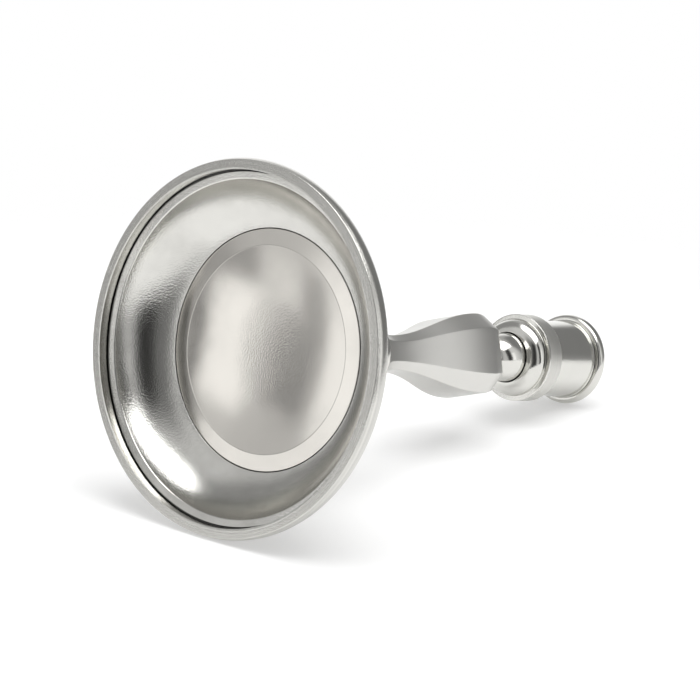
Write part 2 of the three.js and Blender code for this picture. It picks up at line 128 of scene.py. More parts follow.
class Outline:
    """A closed outline of radius and height, drawn stroke by stroke and rounded at its corners."""

    DENSE = 400
    CORNER_POINTS = 6
    FEWEST_POINTS = 4

    def __init__(self, start: Point) -> None:
        """Puts the pen at the first point, a radius and a height."""
        self.pen = np.array(start, float)
        self.strokes: list[Stroke] = []

    def draw(self, path: np.ndarray, spacing: float, easing: float, matt: float) -> "Outline":
        """Adds a stroke along a path and moves the pen to its end.

        Args:
            path: Dense points, the first of them at the pen.
            spacing: Mean distance between the points kept.
            easing: Rounding of the corner at the end.
            matt: Finish of the stretch.

        Returns:
            The outline itself, so that strokes can be chained.
        """
        length = float(np.linalg.norm(np.diff(path, axis=0), axis=1).sum())
        count = max(self.FEWEST_POINTS, int(round(length / spacing)) + 1)
        self.strokes.append(Stroke(path, count, float(easing), float(matt)))
        self.pen = path[-1]
        return self

    def line(self, end: Point, easing: float = 0.0, matt: float = 0.0, spacing: float = 0.8) -> "Outline":
        """Adds a straight stroke to a point; the arguments are those of draw."""
        return self.draw(np.array([self.pen, end], float), spacing, easing, matt)

    def bored(self, first: float, last: float) -> "Outline":
        """Runs in to the bore for the rod at one height and along it to another."""
        return self.line((ROD_BORE, first), Ease.SLIGHT).line((ROD_BORE, last), Ease.SLIGHT)

    def arc(self, centre: Point, radii: Union[float, Point], start: float, end: float,
            easing: float = 0.0, matt: float = 0.0, spacing: float = 0.5) -> "Outline":
        """Adds a stretch of an ellipse: centre + radii * (cos a, sin a), a running from start to end.

        Args:
            centre: Centre of the ellipse.
            radii: Its radius, or its half widths along radius and height.
            start: First angle, at the pen.
            end: Last angle.
            easing, matt, spacing: As in draw.

        Returns:
            The outline itself.
        """
        angle = np.radians(np.linspace(start, end, self.DENSE))
        return self.draw(np.array(centre) + np.array(radii) * unit(angle), spacing, easing, matt)

    def curve(self, first: Point, second: Point, end: Point, easing: float = 0.0,
              matt: float = 0.0, spacing: float = 0.5) -> "Outline":
        """Adds a cubic Bezier stroke from the pen.

        Args:
            first: First control point.
            second: Second control point.
            end: End of the stroke.
            easing, matt, spacing: As in draw.

        Returns:
            The outline itself.
        """
        t = np.linspace(0.0, 1.0, self.DENSE)[:, None]
        path = ((1 - t) ** 3 * self.pen + 3 * (1 - t) ** 2 * t * np.array(first)
                + 3 * (1 - t) * t ** 2 * np.array(second) + t ** 3 * np.array(end))
        return self.draw(path, spacing, easing, matt)

    @staticmethod
    def _kept(stroke: Stroke, before: float) -> np.ndarray:
        """Points of a stroke between its cut-back ends, closer together towards the ends.

        Args:
            stroke: The stroke.
            before: Length cut back at its start.

        Returns:
            Points of radius and height.
        """
        steps = np.linalg.norm(np.diff(stroke.path, axis=0), axis=1)
        along = np.concatenate([[0.0], np.cumsum(steps)])
        share = (1 - np.cos(np.pi * np.linspace(0.0, 1.0, stroke.count))) / 2
        place = before + share * (along[-1] - stroke.easing - before)
        return np.stack([np.interp(place, along, stroke.path[:, axis]) for axis in (0, 1)], axis=1)

    def points(self, closed: bool = True) -> np.ndarray:
        """Joins the strokes; a corner is a quadratic Bezier curve between the two cut-back ends.

        Args:
            closed: Whether the last stroke runs into the first.

        Returns:
            Rows of radius, height, mattness and edge, the last being 1 at the middle of a rounded corner.
        """
        rows: list[np.ndarray] = []
        befores = [self.strokes[-1].easing if closed else 0.0] + [s.easing for s in self.strokes[:-1]]
        kept = [self._kept(stroke, before) for stroke, before in zip(self.strokes, befores)]
        for i, stroke in enumerate(self.strokes):
            drop = 1 if stroke.easing == 0 and (closed or i < len(self.strokes) - 1) else 0
            run = kept[i][:len(kept[i]) - drop]
            rows.append(np.column_stack([run, np.full(len(run), stroke.matt), np.zeros(len(run))]))
            if stroke.easing > 0:
                following = (i + 1) % len(self.strokes)
                t = np.linspace(0.0, 1.0, self.CORNER_POINTS + 2)[1:-1, None]
                bend = ((1 - t) ** 2 * kept[i][-1] + 2 * t * (1 - t) * stroke.path[-1]
                        + t ** 2 * kept[following][0])
                matt = stroke.matt + t * (self.strokes[following].matt - stroke.matt)
                rows.append(np.hstack([bend, matt, 4 * t * (1 - t)]))
        return np.concatenate(rows)

    def turned(self, steps: int, closed: bool = True) -> "Surface":
        """Turns the outline about the Z axis: (r cos a, r sin a, z) for equally spaced angles a.

        Args:
            steps: Number of angles.
            closed: Whether the outline closes on itself.

        Returns:
            The surface.
        """
        rows = self.points(closed)
        angle = np.linspace(0.0, 2 * np.pi, steps, endpoint=False)
        radius, height = rows[:, :1], rows[:, 1:2]
        grid = np.stack([radius * np.cos(angle), radius * np.sin(angle), height + 0 * angle], axis=-1)
        return Surface(grid, rows[:, 2], rows[:, 3], closed)


def placed(name: str, data: Union[Mesh, bpy.types.Camera]) -> Object:
    """Makes an object and links it to the scene.

    Args:
        name: Its name.
        data: Its mesh or camera.

    Returns:
        The object, at the origin.
    """
    made = bpy.data.objects.new(name, data)
    bpy.context.scene.collection.objects.link(made)
    return made


@dataclass
class Surface:
    """A grid of points, closed round the axis, and along its outline unless that ends on the axis.

    Attributes:
        grid: Points in millimetres, outline by turn by three.
        matt: Mattness along the outline.
        edge: Edge share along the outline.
        closed: Whether the outline closes on itself.
    """

    grid: np.ndarray
    matt: np.ndarray
    edge: np.ndarray
    closed: bool = True

    AXIS_REACH = 1e-7
    WELD_REACH = 1e-6

    def build(self, name: str, foot: float = 0.0) -> Object:
        """Makes the mesh object, with its faces pointing out and its outline's measures as attributes.

        Args:
            name: Name of the piece.
            foot: Height of the outline's zero.

        Returns:
            The new object, at the origin.
        """
        rows, columns = self.grid.shape[:2]
        i = np.arange(rows if self.closed else rows - 1)[:, None]
        j = np.arange(columns)[None, :]
        near, far = i * columns, ((i + 1) % rows) * columns
        right = (j + 1) % columns
        quads = np.stack([near + j, near + right, far + right, far + j], axis=-1).reshape(-1, 4)
        points = (self.grid.reshape(-1, 3) + (0, 0, foot)) * MM
        a, b, c, d = (points[quads[:, k]] for k in range(4))
        volume = (np.einsum("ij,ij->i", a, np.cross(b, c)) + np.einsum("ij,ij->i", a, np.cross(c, d))).sum()
        if volume < 0:
            quads = quads[:, ::-1]
        mesh = bpy.data.meshes.new(name)
        mesh.from_pydata(points.tolist(), [], quads.tolist())
        along = np.linalg.norm(np.diff(self.grid[:, 0], axis=0, prepend=self.grid[:1, 0]), axis=1).cumsum()
        for attribute, values in (("matt", self.matt), ("edge", self.edge), ("along", along * MM)):
            layer = mesh.attributes.new(attribute, "FLOAT", "POINT")
            layer.data.foreach_set("value", np.repeat(values, columns).astype(np.float32))
        if not self.closed:
            self._weld(mesh)
        mesh.polygons.foreach_set("use_smooth", np.ones(len(mesh.polygons), bool))
        mesh.update()
        return placed(name, mesh)

    def _weld(self, mesh: Mesh) -> None:
        """Merges the points that meet on the axis into one.

        Args:
            mesh: The mesh to change.
        """
        work = bmesh.new()
        work.from_mesh(mesh)
        on_axis = [v for v in work.verts if v.co.xy.length < self.AXIS_REACH]
        bmesh.ops.remove_doubles(work, verts=on_axis, dist=self.WELD_REACH)
        work.to_mesh(mesh)
        work.free()


# Shader expressions


Method = Callable[["Signal", "Value"], "Signal"]


def operators(operation: str) -> tuple[Method, Method]:
    """Methods that put a signal and another value into a Math node.

    Args:
        operation: The node's operation.

    Returns:
        The method, and its reflected form with the other value first.
    """
    def plain(signal: "Signal", other: "Value") -> "Signal":
        """The operation on the signal and the value."""
        return signal.nodes.math(operation, signal, other)

    def reflected(signal: "Signal", other: "Value") -> "Signal":
        """The operation on the value and the signal."""
        return signal.nodes.math(operation, other, signal)

    return plain, reflected


class Signal:
    """A socket that can be used in Python arithmetic; each operation adds a Math node."""

    def __init__(self, nodes: "Nodes", socket: NodeSocket) -> None:
        """Wraps an output socket of a tree."""
        self.nodes = nodes
        self.socket = socket

    __add__, __radd__ = operators("ADD")
    __sub__, __rsub__ = operators("SUBTRACT")
    __mul__, __rmul__ = operators("MULTIPLY")
    __truediv__, __rtruediv__ = operators("DIVIDE")
    __pow__, __rpow__ = operators("POWER")
    most, least = operators("MAXIMUM")[0], operators("MINIMUM")[0]

    def smooth(self, low: float, high: float) -> "Signal":
        """A smooth step from 0 at low to 1 at high."""
        return self.nodes.node("ShaderNodeMapRange", {"interpolation_type": "SMOOTHSTEP"},
                               {"Value": self, "From Min": low, "From Max": high})


Value = Union[Signal, float]
Key = Union[str, int]
Settings = Optional[dict[str, Any]]
Sockets = Optional[dict[Key, Any]]


class Nodes:
    """A node tree in which every node is made by one method."""

    NOISE_MIDDLE = 0.5

    def __init__(self, owner: Union[Material, bpy.types.World]) -> None:
        """Turns on the nodes of a material or world and empties its tree.

        Args:
            owner: The material or world.
        """
        owner.use_nodes = True
        self.tree = owner.node_tree
        self.tree.nodes.clear()

    def add(self, kind: str, settings: Settings, sockets: Sockets) -> Node:
        """Adds a node.

        Args:
            kind: Blender's type of the node.
            settings: Its properties, set before its sockets.
            sockets: Values or signals for its inputs, by name or number.

        Returns:
            The node.
        """
        made = self.tree.nodes.new(kind)
        for name, value in (settings or {}).items():
            setattr(made, name, value)
        for key, value in (sockets or {}).items():
            if isinstance(value, Signal):
                self.tree.links.new(value.socket, made.inputs[key])
            else:
                made.inputs[key].default_value = value
        return made

    def node(self, kind: str, settings: Settings = None, sockets: Sockets = None, output: Key = 0) -> Signal:
        """Adds a node as add does and returns the signal of one of its outputs."""
        return Signal(self, self.add(kind, settings, sockets).outputs[output])

    def finish(self, kind: str, surface: Signal) -> None:
        """Ends the tree with an output node."""
        self.add(kind, None, {"Surface": surface})

    def math(self, operation: str, *values: Value) -> Signal:
        """One Math node on some values."""
        return self.node("ShaderNodeMath", {"operation": operation}, dict(enumerate(values)))

    def dot(self, vector: Signal, direction: Point) -> Signal:
        """Dot product of a vector with a fixed direction."""
        return self.node("ShaderNodeVectorMath", {"operation": "DOT_PRODUCT"},
                         {0: vector, 1: tuple(direction)}, "Value")

    def join(self, x: Value, y: Value, z: Value) -> Signal:
        """A vector from three values."""
        return self.node("ShaderNodeCombineXYZ", sockets={0: x, 1: y, 2: z})

    def noise(self, vector: Signal, scale: float, detail: float, roughness: float) -> Signal:
        """Perlin noise on a vector, about its middle."""
        return self.node("ShaderNodeTexNoise", {"noise_dimensions": "3D"},
                         {"Vector": vector, "Scale": scale, "Detail": detail, "Roughness": roughness}, "Fac")

    def blend(self, share: Value, first: Any, second: Any) -> Signal:
        """Mixes two colours."""
        return self.node("ShaderNodeMix", {"data_type": "RGBA"}, {0: share, 6: first, 7: second}, 2)

    def mixed(self, share: Value, first: Signal, second: Signal) -> Signal:
        """Mixes two shaders."""
        return self.node("ShaderNodeMixShader", sockets={0: share, 1: first, 2: second})


# Finishes


@dataclass(frozen=True)
class Pewter:
    """A worked pewter finish that runs from polished to matt with the surface's own attribute.

    Attributes:
        name: Name of the material.
        colour: Clean metal.
        tarnish: Duller metal in soft clouds.
        polished: Roughness where the metal is polished.
        matted: Roughness where it is brushed or blasted.
        grain: Size of the cast grain.
        grain_depth: Height of that grain.
        line_depth: Depth of the turning lines where the metal is matt.
        worn: How far rounded edges are polished bright.
        wave_depth: Height of the slow unevenness that hand polishing leaves.
        grain_reach: Radius at which the grain has faded, where it does.
    """

    name: str
    colour: Triple
    tarnish: Triple
    polished: float
    matted: float
    grain: float
    grain_depth: float
    line_depth: float
    worn: float = 0.6
    wave_depth: float = 0.02
    grain_reach: Optional[float] = None

    # Sizes of the patterns, detail and roughness of their noise, and the spans of it that show
    CLOUD_SIZE, WAVE_SIZE, LINE_PITCH, LINE_TURNS = 22.0, 9.0, 0.3, 1.3
    CLOUD_NOISE, GRAIN_NOISE, WAVE_NOISE, LINE_NOISE = (4.0, 0.6), (3.0, 0.55), (1.0, 0.5), (2.0, 0.7)
    CLOUD_SPAN, LINE_SPAN = (0.35, 0.75), (0.3, 0.7)
    # What they do to tarnish, shine and roughness
    CLOUD_TARNISH, LINE_TARNISH, EDGE_SHINE = 0.55, 0.45, 1.08
    CLOUD_ROUGH, LINE_ROUGH, SOOT_ROUGH, EDGE_POLISH, LEAST_ROUGH = 0.05, 0.16, 0.2, 0.08, 0.05
    GRAIN_FADE, LEAST_RADIUS = 0.3, 0.01
    # Black for grooves, partly dirt and partly painted shade where the crease is dark
    SOOT = (0.02, 0.02, 0.02, 1)

    @cached_property
    def material(self) -> Material:
        """The node material, made when it is first asked for.

        Returns:
            The material.
        """
        material = bpy.data.materials.new(self.name)
        nodes = Nodes(material)
        place = nodes.node("ShaderNodeTexCoord", output="Object")
        x, y = nodes.dot(place, (1, 0, 0)), nodes.dot(place, (0, 1, 0))
        radius = ((x * x + y * y) ** 0.5).most(self.LEAST_RADIUS * MM)
        work, edge, along = (nodes.node("ShaderNodeAttribute", {"attribute_name": name}, output="Fac")
                             for name in ("matt", "edge", "along"))
        # Mattness above 1 marks a groove, which is painted black as dirt and painted shade
        matt, grime_and_shade = work.least(1.0), (work - 1.0).most(0.0)

        clouds = nodes.noise(place, 1 / (self.CLOUD_SIZE * MM), *self.CLOUD_NOISE).smooth(*self.CLOUD_SPAN)
        grain = nodes.noise(place, 1 / (self.grain * MM), *self.GRAIN_NOISE) - nodes.NOISE_MIDDLE
        wave = nodes.noise(place, 1 / (self.WAVE_SIZE * MM), *self.WAVE_NOISE)
        ring = nodes.join(x / radius * self.LINE_TURNS, y / radius * self.LINE_TURNS,
                          along / (self.LINE_PITCH * MM))
        lines = nodes.noise(ring, 1.0, *self.LINE_NOISE)
        scratches = (lines - nodes.NOISE_MIDDLE) * matt

        streaks = matt * (1 - self.LINE_TARNISH + lines.smooth(*self.LINE_SPAN) * self.LINE_TARNISH)
        dullness = (clouds * self.CLOUD_TARNISH).most(streaks)
        shine = nodes.blend(dullness, (*self.colour, 1), (*self.tarnish, 1))
        bright = tuple(min(1.0, channel * self.EDGE_SHINE) for channel in self.colour)
        # Grooves take the black of dirt and painted shade
        colour = nodes.blend(grime_and_shade, nodes.blend(edge * self.worn, shine, (*bright, 1)), self.SOOT)
        roughness = (self.polished + matt * (self.matted - self.polished) + clouds * self.CLOUD_ROUGH
                     + scratches * self.LINE_ROUGH - edge * (self.worn * self.EDGE_POLISH)
                     + grime_and_shade * self.SOOT_ROUGH).most(self.LEAST_ROUGH)
        pebbles = grain * (self.grain_depth * MM)
        if self.grain_reach:
            faded = self.grain_reach * MM
            pebbles = pebbles * (1 - radius.smooth(self.GRAIN_FADE * faded, faded))
        height = pebbles + scratches * (self.line_depth * MM) + wave * (self.wave_depth * MM)
        bump = nodes.node("ShaderNodeBump", sockets={"Strength": 1.0, "Distance": 1.0, "Height": height})
        shader = nodes.node("ShaderNodeBsdfPrincipled", sockets={
            "Base Color": colour, "Metallic": 1.0, "Roughness": roughness, "Normal": bump})
        nodes.finish("ShaderNodeOutputMaterial", shader)
        return material


POLISHED = Pewter(
    "polished_pewter", colour=(0.71, 0.705, 0.67), tarnish=(0.62, 0.615, 0.585), polished=0.12, matted=0.42,
    grain=0.7, grain_depth=0.012, line_depth=0.006, wave_depth=0.04)
CAST = Pewter(
    "cast_pewter", colour=(0.70, 0.693, 0.66), tarnish=(0.50, 0.493, 0.468), polished=0.14, matted=0.24,
    grain=0.55, grain_depth=0.06, line_depth=0.03, wave_depth=0.04)
SATIN = Pewter(
    "satin_pewter", colour=(0.69, 0.683, 0.655), tarnish=(0.63, 0.623, 0.598), polished=0.30, matted=0.46,
    grain=0.6, grain_depth=0.003, line_depth=0.006)
FROSTED = Pewter(
    "frosted_pewter", colour=(0.71, 0.685, 0.64), tarnish=(0.65, 0.63, 0.59), polished=0.12, matted=0.30,
    grain=0.5, grain_depth=0.055, line_depth=0.004, worn=0.1, grain_reach=24.0)
STEEL = Pewter(
    "rod_steel", colour=(0.56, 0.56, 0.57), tarnish=(0.45, 0.44, 0.43), polished=0.35, matted=0.45,
    grain=0.5, grain_depth=0.003, line_depth=0.006)


# Pieces


def dress(piece: Object, node: str, finish: Pewter) -> None:
    """Gives a piece its finish and has it stand for a CAD node.

    Args:
        piece: The new mesh.
        node: The CAD node.
        finish: The finish.
    """
    piece.data.materials.append(finish.material)
    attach(piece, "root")
    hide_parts(node)
    log.info("%s: %d faces for %s", piece.name, len(piece.data.polygons), node)


@dataclass
class Base:
    """The cast base, the flared neck on it, and the disc that closes its underside."""

    foot_radius: float = 58.0
    foot_width: float = 3.1
    foot_crown: float = 0.1
    foot_bevel: Pair = (0.5, 0.07)
    rim_height: float = 5.5
    rim_draft: float = 0.4
    rim_bulge: float = 0.8
    rim_lean: Pair = (0.5, 1.3)
    rim_edge: float = 0.5
    rim_pulls: Pair = (0.4, 0.65)
    wall_edge: float = 0.06
    ledge_depth: float = 3.5
    ledge_width: float = 2.7
    ledge_rise: float = 0.6
    ledge_round: float = 0.3
    quirk_width: float = 0.5
    quirk_depth: float = 0.5
    seam_radius: float = 37.9
    seam_height: float = 16.9
    seam_edge: float = 0.12
    dish_bulge: float = 2.2
    dome_wall: float = 3.0
    dome_end: float = 80.0
    neck_setback: float = 0.5
    neck_plinth: float = 0.8
    neck_slope: float = 10.0
    neck_foot_reach: float = 14.0
    neck_top_reach: float = 26.0
    neck_wall: float = 1.9
    neck_radius: float = 11.4
    neck_height: float = 57.5
    neck_floor: float = 5.0
    neck_land: float = 5.7
    neck_lip: float = 0.2
    neck_edge: float = 0.3
    disc_edge: float = 1.4
    disc_flat: float = 5.2
    disc_ridge: float = 0.5
    disc_dishing: float = 3.2
    disc_back_edge: float = 1.0
    seam_gap: float = 0.25
    seat_clearance: float = 0.9
    steps: int = 256

    @staticmethod
    def swelling(start: Point, end: Point, rise: float) -> tuple[np.ndarray, float, float, float]:
        """The arc between two points that swells by a rise to the right of the way it runs.

        Args:
            start: First point.
            end: Last point.
            rise: Height of the arc over its chord.

        Returns:
            Centre, radius, and the angles of the two points.
        """
        first, last = np.array(start, float), np.array(end, float)
        chord = last - first
        half = np.linalg.norm(chord) / 2
        radius = (half * half + rise * rise) / (2 * rise)
        outward = np.array([chord[1], -chord[0]]) / (2 * half)
        centre = (first + last) / 2 + outward * (rise - radius)
        angles = [math.degrees(math.atan2(*(point - centre)[::-1])) for point in (first, last)]
        return centre, float(radius), angles[0], angles[1]

    @property
    def dish(self) -> tuple[np.ndarray, float, float, float]:
        """The arc of the dished underside, from the ledge to the seam."""
        ledge = (self.wall_top - self.ledge_width, self.ledge_depth + self.ledge_rise)
        return self.swelling(ledge, (self.seam_radius, self.seam_height), self.dish_bulge)

    @property
    def wall_top(self) -> float:
        """Radius of the foot's inner wall."""
        return self.foot_radius - self.foot_width

    @property
    def dome_top(self) -> np.ndarray:
        """The point where the dome ends and the neck stands."""
        centre, radius = self.dish[:2]
        return centre + (radius + self.dome_wall) * unit(math.radians(self.dome_end))

    def shell(self) -> Surface:
        """The base: foot ring, rim, dome, seat, rebate, dish and ledge.

        Returns:
            The surface.
        """
        centre, radius, dish_start, dish_end = self.dish
        dome = radius + self.dome_wall
        rim_top = (self.foot_radius - self.rim_draft, self.rim_height)
        rim_side = (self.foot_radius + self.rim_lean[0], self.foot_crown + self.rim_lean[1])
        rim_widest = self.foot_radius + self.rim_bulge - self.rim_draft / 2
        low, high = ((rim_widest, self.rim_height * pull) for pull in self.rim_pulls)
        dome_foot = math.degrees(math.asin((self.rim_height - centre[1]) / dome))
        dome_start = centre + dome * unit(math.radians(dome_foot))
        quirk, quirk_floor = self.wall_top - self.quirk_width, self.ledge_depth + self.quirk_depth
        seat = self.seam_radius - self.seam_gap - self.disc_flat + self.seat_clearance
        rebate = self.seam_height + self.disc_edge
        return (
            Outline((self.foot_radius, self.foot_crown))
            .line(rim_side, self.rim_edge, Matt.TURNED)
            .curve(low, high, rim_top, Ease.FULL, Matt.SCUFFED)
            .line(dome_start, Ease.FULL, Matt.TURNED)
            .arc(centre, dome, dome_foot, self.dome_end, Ease.SOFT, Matt.BUFFED)
            .line((seat, self.dome_top[1]), Ease.SLIGHT)
            .line((seat, rebate), Ease.CLEAN)
            .line((self.seam_radius, rebate), Ease.CRISP, Matt.GROOVE)
            .line((self.seam_radius, self.seam_height), self.seam_edge, Matt.GROOVE)
            .arc(centre, radius, dish_end, dish_start, self.ledge_round)
            .line((quirk, self.ledge_depth), Ease.FINE)
            .line((quirk, quirk_floor), Ease.CRISP, Matt.GROOVE)
            .line((self.wall_top, quirk_floor), Ease.CRISP, Matt.GROOVE)
            .line((self.wall_top, self.foot_bevel[1]), self.wall_edge)
            .line((self.wall_top + self.foot_bevel[0], 0), Ease.KEEN)
            .line((self.foot_radius, self.foot_crown), Ease.CLEAN, Matt.BLASTED)
            .turned(self.steps)
        )

    def neck(self) -> Surface:
        """The flared neck, hollow below and bored at its top.

        Returns:
            The surface.
        """
        foot = self.dome_top - (self.neck_setback, 0)
        plinth = foot + (0, self.neck_plinth)
        leaving = plinth + self.neck_foot_reach * unit(math.radians(180 - self.neck_slope))
        ceiling, inside = self.neck_height - self.neck_floor, self.neck_radius - self.neck_wall
        bend = self.neck_height - self.neck_top_reach
        inner_foot = foot - (self.neck_land, 0)
        return (
            Outline(foot)
            .line(plinth, Ease.SOFT)
            .curve(leaving, (self.neck_radius, bend), (self.neck_radius, self.neck_height), self.neck_edge)
            .bored(self.neck_height, ceiling)
            .line((inside, ceiling), Ease.ROUND)
            .curve((inside, bend), leaving - (0, self.neck_wall), inner_foot + (0, self.neck_lip),
                   Ease.CRISP)
            .line(inner_foot, Ease.CRISP)
            .line(foot, Ease.CLEAN)
            .turned(self.steps)
        )

    def disc(self) -> Surface:
        """The closing disc: a plain ring that comes down to a ridge round a shallow dished middle.

        Returns:
            The surface.
        """
        edge = self.seam_radius - self.seam_gap
        dished = edge - self.disc_flat
        radius = (dished ** 2 + self.disc_dishing ** 2) / (2 * self.disc_dishing)
        ridge = self.seam_height - self.disc_ridge
        centre = ridge + self.disc_dishing - radius
        angle = math.degrees(math.acos(dished / radius))
        top = self.seam_height + self.disc_edge
        return (
            Outline((0, centre + radius))
            .arc((0, centre), radius, 90, angle, Ease.CLEAN)
            .line((edge, self.seam_height), Ease.SOFT)
            .line((edge, top), Ease.CRISP, Matt.GROOVE)
            .line((dished, ridge + self.disc_edge), self.disc_back_edge)
            .arc((0, centre + self.disc_edge), radius, angle, 90, matt=Matt.TURNED)
            .turned(self.steps, closed=False)
        )

    def build(self) -> None:
        """Makes and dresses the three pieces."""
        dress(self.shell().build("base"), "base_shell", CAST)
        dress(self.neck().build("neck"), "flared_neck", POLISHED)
        dress(self.disc().build("disc"), "closing_disc", FROSTED)


@dataclass
class Stem:
    """The square stem with canted corners, and the turned knop under it."""

    knop_height: float = 6.0
    knop_top: float = 12.4
    knop_bead: float = 0.4
    knop_undercut: float = 2.0
    foot_radius: float = 12.3
    neck_radius: float = 6.55
    neck_rise: float = 12.5
    belly_radius: float = 15.45
    shoulder: float = 14.0
    edge_radius: float = 14.5
    edge_drop: float = 9.0
    edge_slope: float = 0.3
    edge_round: float = 0.7
    top_radius: float = 6.4
    length: float = 68.0
    face_span: float = 60.0
    corner: float = 0.5
    corner_share: float = 0.12
    flare_foot_ease: float = 0.25
    flare_neck_ease: float = 0.4
    swell_neck_ease: float = 0.39
    swell_belly_ease: float = 0.42
    edge_ease: float = 0.36
    corner_points: int = 7
    face_points: int = 8
    steps: int = 160

    def knop(self) -> Surface:
        """The turned ring under the stem.

        Returns:
            The surface.
        """
        half = self.knop_height / 2
        low = self.knop_top + self.knop_bead - self.knop_undercut
        return (
            Outline((ROD_BORE, 0))
            .line((low, 0), Ease.CRISP)
            .arc((low, half), (self.knop_undercut, half), -90, 0)
            .arc((self.knop_top, half), (self.knop_bead, half), 0, 90, Ease.CRISP)
            .bored(self.knop_height, 0)
            .turned(self.steps)
        )

    def section(self, radius: np.ndarray, share: np.ndarray) -> np.ndarray:
        """Sections of a square with canted and rounded corners, passing into a circle.

        A corner lies at the given radius, half a face's span to either side of X and Y. It is rounded about
        the point that lies the corner's radius inside both faces. Points are spread between corners.

        Args:
            radius: Corner radius of each section.
            share: 1 for the canted square, 0 for a circle of the same radius.

        Returns:
            Points, section by turn by two.
        """
        half = math.radians(self.face_span) / 2
        quarter = np.arange(4) * math.pi / 2
        corners = np.stack([quarter - half, quarter + half], axis=1).ravel()
        before = np.stack([quarter - math.pi / 4, quarter], axis=1).ravel()
        after = np.stack([quarter, quarter + math.pi / 4], axis=1).ravel()
        bend = np.linspace(0.0, 1.0, self.corner_points)
        turn = before[:, None] + (after - before)[:, None] * bend
        rounding = np.minimum(self.corner, radius * self.corner_share)[:, None, None, None]
        vertex = unit(corners)[:, None]
        lean = ((unit(before) + unit(after)) / (1 + np.cos(after - before))[:, None])[:, None]
        arcs = radius[:, None, None, None] * vertex - rounding * lean + rounding * unit(turn)
        spread = np.linspace(0.0, 1.0, self.face_points + 2)[1:-1][None, None, :, None]
        faces = arcs[:, :, -1:] + spread * (np.roll(arcs, -1, axis=1)[:, :, :1] - arcs[:, :, -1:])
        square = np.concatenate([arcs, faces], axis=2).reshape(len(radius), -1, 2)
        circle = radius[:, None, None] * unit(np.arctan2(square[..., 1], square[..., 0]))
        return circle + share[:, None, None] * (square - circle)

    def body(self) -> Surface:
        """The stem: flared foot, neck, belly, crisp shoulder and sloping top, bored for the rod.

        Returns:
            The surface.
        """
        neck, belly, edge = self.neck_rise, self.length - self.shoulder, self.length - self.edge_drop
        swell = belly - neck
        reach = (edge - belly) * self.edge_ease
        middle = (self.foot_radius + self.neck_radius) / 2
        outline = (
            Outline((ROD_BORE, 0))
            .line((self.foot_radius, 0), Ease.FULL)
            .curve((middle, neck * self.flare_foot_ease),
                   (self.neck_radius, neck - neck * self.flare_neck_ease), (self.neck_radius, neck))
            .curve((self.neck_radius, neck + swell * self.swell_neck_ease),
                   (self.belly_radius, belly - swell * self.swell_belly_ease), (self.belly_radius, belly))
            .curve((self.belly_radius, belly + reach),
                   (self.edge_radius + self.edge_slope * reach, edge - reach),
                   (self.edge_radius, edge), self.edge_round)
            .line((self.top_radius, self.length), Ease.ROUND)
            .bored(self.length, 0)
        )
        points = outline.points()
        radius, height = points[:, 0], points[:, 1]
        share = np.clip((radius - ROD_BORE) / (self.neck_radius - ROD_BORE), 0.0, 1.0)
        flat = self.section(radius, share)
        grid = np.concatenate([flat, np.repeat(height[:, None, None], flat.shape[1], axis=1)], axis=-1)
        return Surface(grid, points[:, 2], points[:, 3])

    def build(self) -> None:
        """Makes and dresses the knop and the stem, on the feet of their CAD nodes."""
        knop_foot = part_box("foot_knop")[0].z / MM
        stem_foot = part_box("baluster_stem")[0].z / MM
        dress(self.knop().build("knop", knop_foot), "foot_knop", POLISHED)
        dress(self.body().build("stem", stem_foot), "baluster_stem", SATIN)


